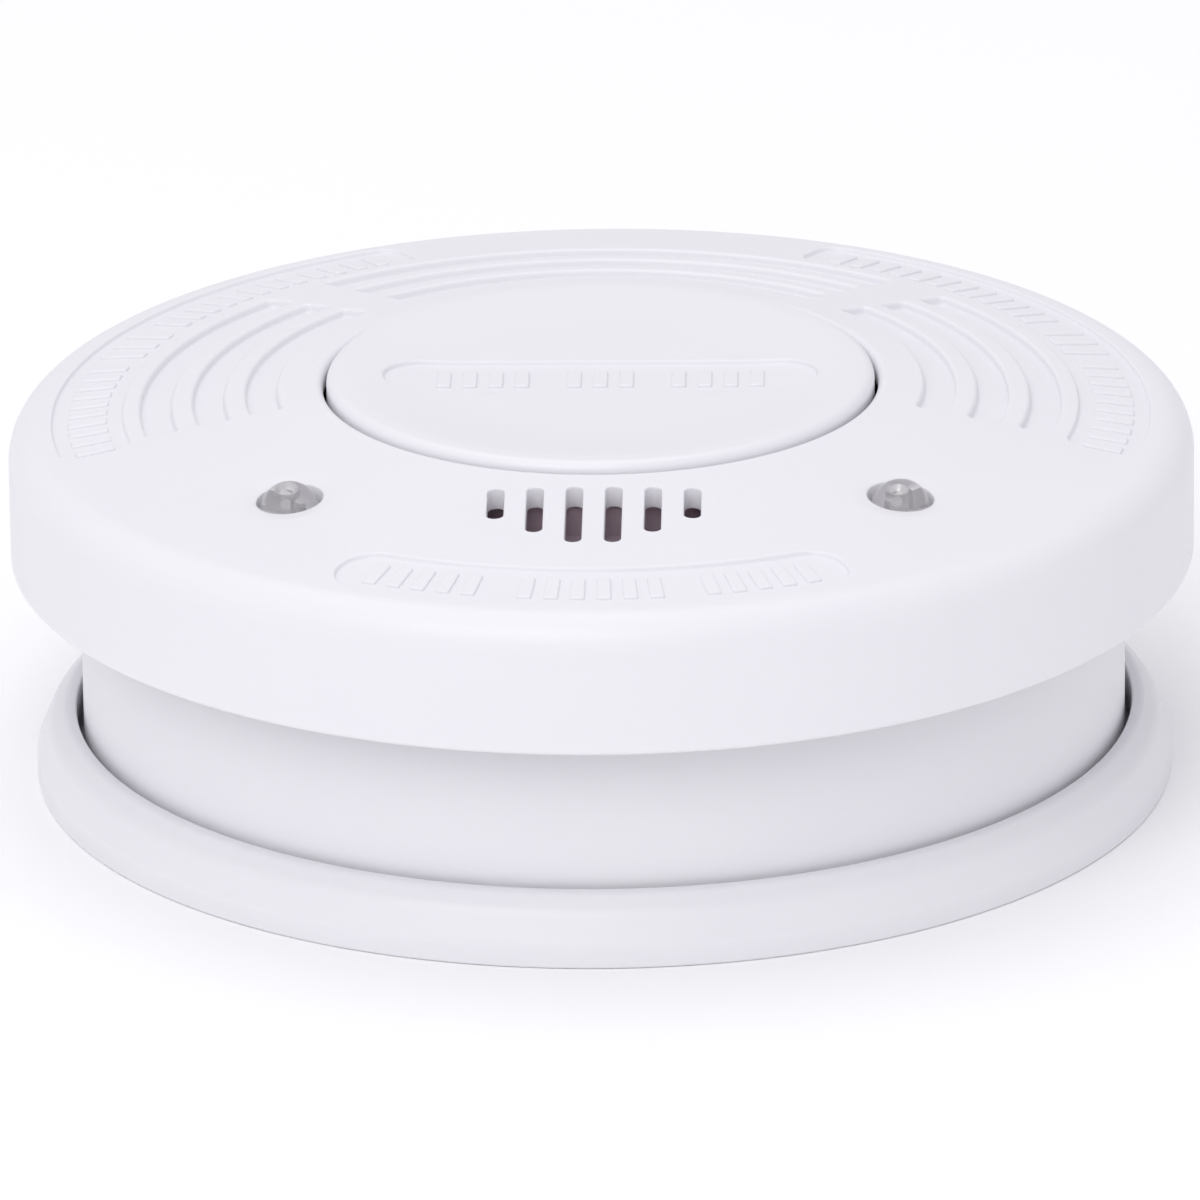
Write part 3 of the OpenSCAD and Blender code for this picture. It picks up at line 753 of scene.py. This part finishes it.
def model_lamp(side, x):
    """A clear 5 mm lamp: a domed lens over a bright anvil, its cup and a slim post."""
    dome = [(LENS_R * math.cos(math.radians(a)), LENS_TOP - LENS_R + LENS_R * math.sin(math.radians(a)))
            for a in range(0, 90, 6)]
    outline = [(1, LENS_LOW), (2.8, LENS_LOW), (2.9, LENS_LOW + 0.1), (2.9, LENS_LOW + 0.9), (2.8, LENS_LOW + 1),
               (LENS_R, LENS_LOW + 1)] + dome + [(0, LENS_TOP)]
    lens = cap_ends(lathe("lens_" + side, outline, 96, closed=False))
    shift(lens, x, LENS_Y)
    place_piece(lens, "head", "indicator_lens_" + side, EPOXY)
    top = LENS_TOP - 1.5
    anvil = [block("anvil", (1.7, 0.5, 1.3), (-0.55, 0, top - 0.65), 0.08),
             block("leg", (0.5, 0.5, top - 1 - LENS_LOW), (-1.27, 0, (top - 1 + LENS_LOW) / 2), 0.05),
             block("post", (0.75, 0.5, 1.6), (1.05, 0, top - 0.8), 0.08),
             block("leg", (0.5, 0.5, top - 1 - LENS_LOW), (1.27, 0, (top - 1 + LENS_LOW) / 2), 0.05),
             lathe("cup", [(0.75, top - 0.1), (0.75, top + 0.35), (0.68, top + 0.35),
                           (0.4, top), (0.4, top - 0.1)], 32)]
    shift(anvil[-1], -0.3, 0)
    lead = join(anvil, "lead_frame_" + side)
    turn = math.atan2(LENS_Y, x) + math.pi / 2
    lead.data.transform(Matrix.Translation(Vector((x, LENS_Y, 0)) * MM) @ Matrix.Rotation(turn, 4, "Z"))
    place_piece(lead, "head", None, STEEL)


# ---- sounder ----

def model_sounder_case():
    """The horn's case: a round can with an off-centre sound hole, and a wall behind the cover's slots."""
    inner, ledge, roof = SOUNDER_R - 1.2, BOARD_TOP + 3.2, BOARD_TOP + 5.5
    case = lathe("sounder_can", rounded([
        (SOUNDER_R, BOARD_TOP, 0.1), (SOUNDER_R, roof, 0.8), (1, roof, 0), (1, roof - 1.2, 0),
        (inner - 1.4, roof - 1.2, 0.1), (inner - 1.4, ledge, 0.05),
        (inner, ledge, 0.05), (inner, BOARD_TOP, 0.1)], 5), 180)
    carve(case, [tube("middle", 1.5, roof - 1.2, roof)], "UNION")
    hole = tray_tool("sound_hole", 6.4, 6.4, 3.1, sunk(4, 0.2, 0))
    shift(hole, 0, SOUND_HOLE_Y, roof)
    carve(case, [hole])
    shift(case, 0, SOUNDER_Y)
    baffle = HOLE_R + 1.4
    spread = math.degrees(math.asin((2.5 * SLOT_PITCH + SLOT_W) / baffle))
    carve(case, [arc_block("baffle", baffle, baffle + 0.8, roof - 0.4, SOUNDER_TOP,
                           -90 - spread, -90 + spread)], "UNION")
    place_piece(case, "head", "sounder_case", FINISHES["sounder_plastic"])


model_mounting_plate()
model_base_housing()
model_front_cover()
model_test_button()
model_button_spring()
model_lamp("left", LENS_X[0])
model_lamp("right", LENS_X[1])
model_sounder_case()


# ---- scene: camera, light and floor ----

def add_camera():
    """The view over the front edge, a little right of the middle, from far off with a long lens."""
    azimuth, elevation, roll = math.radians(1.3), math.radians(20.35), math.radians(0.668)
    target = Vector((0, 0, 18)) * MM
    away = Vector((math.sin(azimuth) * math.cos(elevation), -math.cos(azimuth) * math.cos(elevation),
                   math.sin(elevation)))
    camera = bpy.data.objects.new("camera", bpy.data.cameras.new("camera"))
    bpy.context.collection.objects.link(camera)
    camera.data.sensor_width = 36
    camera.data.lens = 428.1
    camera.data.shift_x = -0.0021
    camera.data.shift_y = -0.0344
    camera.data.clip_start = 0.01
    look = away.to_track_quat("Z", "Y").to_matrix() @ Matrix.Rotation(-roll, 3, "Z")
    camera.matrix_world = Matrix.Translation(target + away * 1207.8 * MM) @ look.to_4x4()
    bpy.context.scene.camera = camera


def add_light(name, place, size, power):
    """A round soft light that faces the object."""
    light = bpy.data.lights.new(name, "AREA")
    light.shape = "DISK"
    light.size = size
    light.energy = power
    obj = bpy.data.objects.new(name, light)
    bpy.context.collection.objects.link(obj)
    obj.location = place
    obj.rotation_euler = (Vector((0, 0, 0.02)) - Vector(place)).to_track_quat("-Z", "Y").to_euler()


def add_stage():
    """A pale floor, a pale surround and three soft lights."""
    bpy.ops.object.select_all(action="DESELECT")
    bpy.ops.mesh.primitive_plane_add(size=8, location=(0, 0, -0.02 * MM))
    floor = bpy.context.object
    floor.name = "studio_sweep"
    dress(floor, start_material("pale_sweep", Roughness=0.9, Base_Color=srgb("FFFFFF"))[0])
    world = bpy.data.worlds.new("studio")
    bpy.context.scene.world = world
    world.use_nodes = True
    world.node_tree.nodes["Background"].inputs["Color"].default_value = srgb("F4F3F9")
    world.node_tree.nodes["Background"].inputs["Strength"].default_value = 0.78
    add_light("key", (-0.3, -0.85, 0.9), 0.9, 4.3)
    add_light("top", (-0.1, 0.2, 1.1), 1.0, 2.4)
    add_light("low_fill", (-0.1, -1.4, 0.1), 0.8, 0.15)


add_camera()
add_stage()
bpy.context.scene.view_settings.view_transform = "Standard"
